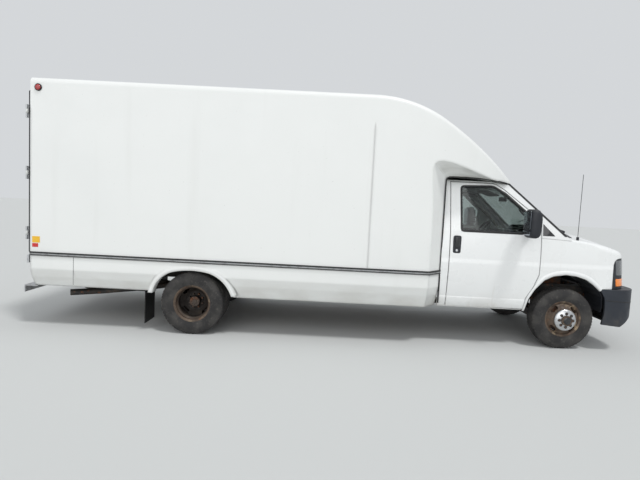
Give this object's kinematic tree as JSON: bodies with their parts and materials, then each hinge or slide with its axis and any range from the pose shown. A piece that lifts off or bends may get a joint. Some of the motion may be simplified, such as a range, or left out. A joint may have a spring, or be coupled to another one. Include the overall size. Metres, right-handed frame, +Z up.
{
  "type": "box truck",
  "caption": "Cutaway van cab with a white moulded load body whose rounded nose sweeps down over the cab, twin rear wheels, hinged doors and hood.",
  "frame": {"origin": "on the ground, under the middle of the truck's length and width", "axes": "+X forward, +Y to the truck's left side, +Z up"},
  "size_m": [7.479, 2.65, 2.908],
  "materials": {
    "moulded_white": "gloss",
    "cab_white": "gloss",
    "dark_plastic": "satin",
    "chassis_black": "satin",
    "zinc_steel": "satin",
    "aluminium": "satin",
    "tyre": "matte",
    "wheel_tan": "matte",
    "cast_iron": "matte",
    "glass": "gloss",
    "lamp_lens": "gloss",
    "red_lens": "gloss",
    "rubber": "matte",
    "floor_wood": "satin",
    "seat_fabric": "matte",
    "trim_grey": "matte"
  },
  "bodies": {
    "truck": {"box_sides": "moulded_white", "box_roof": "moulded_white", "box_nose": "moulded_white", "bulkhead": "moulded_white", "cargo_floor": "floor_wood", "rear_frame": "zinc_steel", "rub_rails": "aluminium", "box_skirts": "moulded_white", "rear_bumper": "zinc_steel", "mud_flaps": "rubber", "frame_rails": "chassis_black", "rear_axle": "cast_iron", "leaf_springs": "chassis_black", "engine_block": "cast_iron", "drivetrain": "cast_iron", "fuel_tank": "chassis_black", "exhaust_pipe": "zinc_steel", "front_suspension": "chassis_black", "cowl": "dark_plastic", "cab_body": "cab_white", "windshield": "glass", "fenders": "cab_white", "headlamps": "lamp_lens", "grille": "dark_plastic", "front_bumper": "dark_plastic", "wheelhouses": "dark_plastic", "cab_floor": "trim_grey", "dashboard": "trim_grey", "seats": "seat_fabric", "steering_wheel": "dark_plastic", "marker_lamps": "red_lens", "tail_lamps": "red_lens", "antenna": "dark_plastic"},
    "knuckle_right": {"knuckle_right": "cast_iron"},
    "front_wheel_right": {"front_wheel_right": "wheel_tan", "front_tyre_right": "tyre"},
    "rear_wheels_right": {"rear_wheels_right": "wheel_tan", "rear_tyres_right": "tyre"},
    "cab_door_right": {"cab_door_right": "cab_white", "door_glass_right": "glass", "mirror_right": "dark_plastic"},
    "rear_door_right": {"rear_door_right": "moulded_white"},
    "knuckle_left": {"knuckle_left": "cast_iron"},
    "front_wheel_left": {"front_wheel_left": "wheel_tan", "front_tyre_left": "tyre"},
    "rear_wheels_left": {"rear_wheels_left": "wheel_tan", "rear_tyres_left": "tyre"},
    "cab_door_left": {"cab_door_left": "cab_white", "door_glass_left": "glass", "mirror_left": "dark_plastic"},
    "rear_door_left": {"rear_door_left": "moulded_white"},
    "hood": {"hood": "cab_white"}
  },
  "joints": [
    {"name": "steer_left", "type": "hinge", "parent": "truck", "child": "knuckle_left", "pos_m": [2.7895, 0.8, 0.372], "axis": [0, 0, 1], "range_deg": [-32, 32]},
    {"name": "front_wheel_spin_left", "type": "hinge", "parent": "knuckle_left", "child": "front_wheel_left", "pos_m": [2.7895, 0.874, 0.372], "axis": [0, 1, 0], "continuous": true},
    {"name": "rear_wheels_spin_left", "type": "hinge", "parent": "truck", "child": "rear_wheels_left", "pos_m": [-1.7065, 0.933, 0.372], "axis": [0, 1, 0], "continuous": true},
    {"name": "cab_door_hinge_left", "type": "hinge", "parent": "truck", "child": "cab_door_left", "pos_m": [2.4095, 1.006, 1.2], "axis": [0, 0, -1], "range_deg": [0, 65]},
    {"name": "rear_door_hinge_left", "type": "hinge", "parent": "truck", "child": "rear_door_left", "pos_m": [-3.6575, 1.185, 1.82], "axis": [0, 0, -1], "range_deg": [0, 255]},
    {"name": "steer_right", "type": "hinge", "parent": "truck", "child": "knuckle_right", "pos_m": [2.7895, -0.8, 0.372], "axis": [0, 0, 1], "range_deg": [-32, 32]},
    {"name": "front_wheel_spin_right", "type": "hinge", "parent": "knuckle_right", "child": "front_wheel_right", "pos_m": [2.7895, -0.874, 0.372], "axis": [0, 1, 0], "continuous": true},
    {"name": "rear_wheels_spin_right", "type": "hinge", "parent": "truck", "child": "rear_wheels_right", "pos_m": [-1.7065, -0.933, 0.372], "axis": [0, 1, 0], "continuous": true},
    {"name": "cab_door_hinge_right", "type": "hinge", "parent": "truck", "child": "cab_door_right", "pos_m": [2.4095, -1.006, 1.2], "axis": [0, 0, 1], "range_deg": [0, 65]},
    {"name": "rear_door_hinge_right", "type": "hinge", "parent": "truck", "child": "rear_door_right", "pos_m": [-3.6575, -1.185, 1.82], "axis": [0, 0, 1], "range_deg": [0, 255]},
    {"name": "hood_hinge", "type": "hinge", "parent": "truck", "child": "hood", "pos_m": [2.8955, 0, 1.402], "axis": [0, -1, 0], "range_deg": [0, 50]}
  ],
  "couplings": [
    {"joint": "steer_right", "follows": "steer_left", "ratio": 1}
  ]
}
